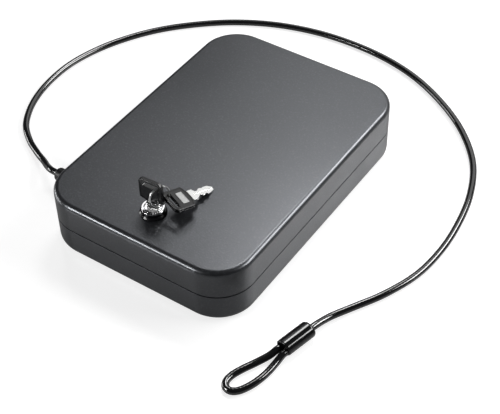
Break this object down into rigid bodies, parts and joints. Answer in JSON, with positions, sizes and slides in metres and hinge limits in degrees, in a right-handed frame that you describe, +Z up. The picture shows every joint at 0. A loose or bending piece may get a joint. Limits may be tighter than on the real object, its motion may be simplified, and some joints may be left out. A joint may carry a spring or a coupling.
{
  "type": "portable car safe",
  "caption": "Flat rounded steel lock box with a hinged lid, a keyed cam lock, keys on a split ring, and a coated tether cable that ends in a crimped eye.",
  "frame": {"origin": "centre of the base's flat underside", "axes": "+X across the box to the side away from the cable's exit, +Y along the box from the lock to the hinge, +Z up"},
  "size_m": [0.3763, 0.3726, 0.0789],
  "materials": {
    "coat": "satin charcoal powder coat",
    "steel": "bright nickel-plated steel",
    "chrome": "polished chrome plate",
    "brass": "plain machined brass",
    "plastic": "black moulded plastic, half gloss",
    "rubber": "smooth black rubber",
    "cable_coat": "glossy black coat over steel rope",
    "foam": "dark grey open-cell foam"
  },
  "bodies": {
    "base": {"base_shell": "coat", "base_foam": "foam", "anti_pry_rim_left": "coat", "anti_pry_rim_right": "coat", "strike_bracket": "steel", "hinge_leaf_base": "coat", "hinge_pin": "steel", "cable_sleeve": "rubber", "cable_stop": "steel", "tether_cable": "cable_coat", "cable_ferrule": "plastic", "cable_eye": "cable_coat"},
    "lid": {"lid_shell": "coat", "lid_foam": "foam", "hinge_leaf_lid": "coat", "lock_housing": "chrome", "lock_bezel": "plastic", "lock_washer": "steel", "lock_nut": "steel"},
    "lock_core": {"lock_plug": "chrome", "lock_wafer_1": "brass", "lock_wafer_2": "brass", "lock_wafer_3": "brass", "lock_wafer_4": "brass", "lock_wafer_5": "brass", "lock_cam": "steel", "cam_washer": "steel", "cam_screw": "steel"},
    "key_in_lock": {"key_blade": "steel", "key_head": "plastic"},
    "ring": {"key_ring": "steel"},
    "spare_key": {"spare_key_blade": "steel", "spare_key_head": "plastic"}
  },
  "joints": [
    {"name": "lid_hinge", "type": "hinge", "parent": "base", "child": "lid", "pos_m": [0, 0.12, 0.0249], "axis": [-1, 0, 0], "range_deg": [0, 105]},
    {"name": "lock_turn", "type": "hinge", "parent": "lid", "child": "lock_core", "pos_m": [-0.0005, -0.0902, 0.05], "axis": [0, 0, -1], "range_deg": [0, 90]},
    {"name": "key_slide", "type": "slide", "parent": "lock_core", "child": "key_in_lock", "axis": [0, 0, 1], "range_m": [0, 0.022]},
    {"name": "ring_swing", "type": "hinge", "parent": "key_in_lock", "child": "ring", "pos_m": [0.00455, -0.0902, 0.0743], "axis": [0.0698, -0.9976, 0], "range_deg": [0, 35]},
    {"name": "spare_key_swing", "type": "hinge", "parent": "ring", "child": "spare_key", "pos_m": [0.0057, -0.0894, 0.06637], "axis": [0.9355, -0.3386, 0.1011], "range_deg": [0, 40]}
  ]
}
